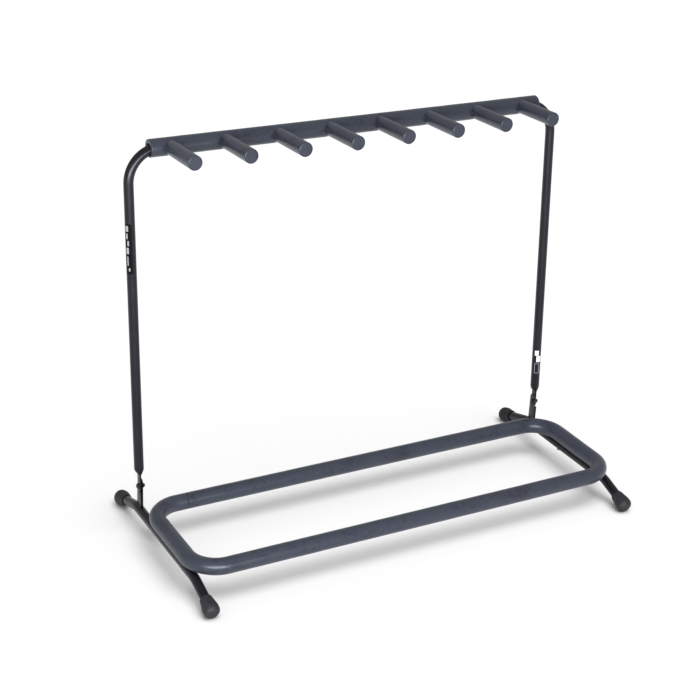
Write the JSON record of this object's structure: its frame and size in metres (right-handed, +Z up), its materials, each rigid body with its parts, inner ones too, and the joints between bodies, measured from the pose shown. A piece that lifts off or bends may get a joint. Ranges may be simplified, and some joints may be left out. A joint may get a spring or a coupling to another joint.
{
  "type": "guitar rack",
  "caption": "Floor rack for guitars: bent black tube, a foam-covered tray ring to stand the bodies on and a fold-down frame with padded pegs between the necks.",
  "frame": {"origin": "on the floor, midway between the four feet", "axes": "+X along the top bar to the right, +Z up, the pegs and the tray point to -Y, the front"},
  "size_m": [0.8046, 0.3929, 0.656],
  "materials": {
    "powder_coated_steel": "satin to gloss black powder coat on bent steel tube and folded sheet",
    "foam_rubber": "closed-cell foam rubber sleeve, charcoal, soft sheen",
    "rubber_feet": "moulded black rubber, matte",
    "black_hardware": "dark zinc-plated steel"
  },
  "bodies": {
    "base": {"tray_tube": "powder_coated_steel", "tray_joiner": "powder_coated_steel", "leg_tube_left": "powder_coated_steel", "leg_tube_right": "powder_coated_steel", "hinge_bracket_left": "powder_coated_steel", "hinge_bracket_right": "powder_coated_steel", "tray_foam": "foam_rubber", "pivot_bolt_left": "black_hardware", "pivot_bolt_right": "black_hardware", "pivot_washer_left": "black_hardware", "pivot_washer_right": "black_hardware", "pivot_nut_left": "black_hardware", "pivot_nut_right": "black_hardware", "tray_screw_front_left": "black_hardware", "tray_screw_front_right": "black_hardware", "tray_screw_rear_left": "black_hardware", "tray_screw_rear_right": "black_hardware", "foot_cap_front_left": "rubber_feet", "foot_cap_front_right": "rubber_feet", "foot_cap_rear_left": "rubber_feet", "foot_cap_rear_right": "rubber_feet"},
    "neck_frame": {"neck_frame_tube": "powder_coated_steel", "peg_rod_1": "powder_coated_steel", "peg_rod_2": "powder_coated_steel", "peg_rod_3": "powder_coated_steel", "peg_rod_4": "powder_coated_steel", "peg_rod_5": "powder_coated_steel", "peg_rod_6": "powder_coated_steel", "peg_rod_7": "powder_coated_steel", "peg_rod_8": "powder_coated_steel", "top_bar_foam": "foam_rubber", "peg_foam_1": "foam_rubber", "peg_foam_2": "foam_rubber", "peg_foam_3": "foam_rubber", "peg_foam_4": "foam_rubber", "peg_foam_5": "foam_rubber", "peg_foam_6": "foam_rubber", "peg_foam_7": "foam_rubber", "peg_foam_8": "foam_rubber"}
  },
  "joints": [
    {"name": "frame_fold", "type": "hinge", "parent": "base", "child": "neck_frame", "pos_m": [0, 0.1018, 0.0791], "axis": [1, 0, 0], "range_deg": [0, 90]}
  ]
}
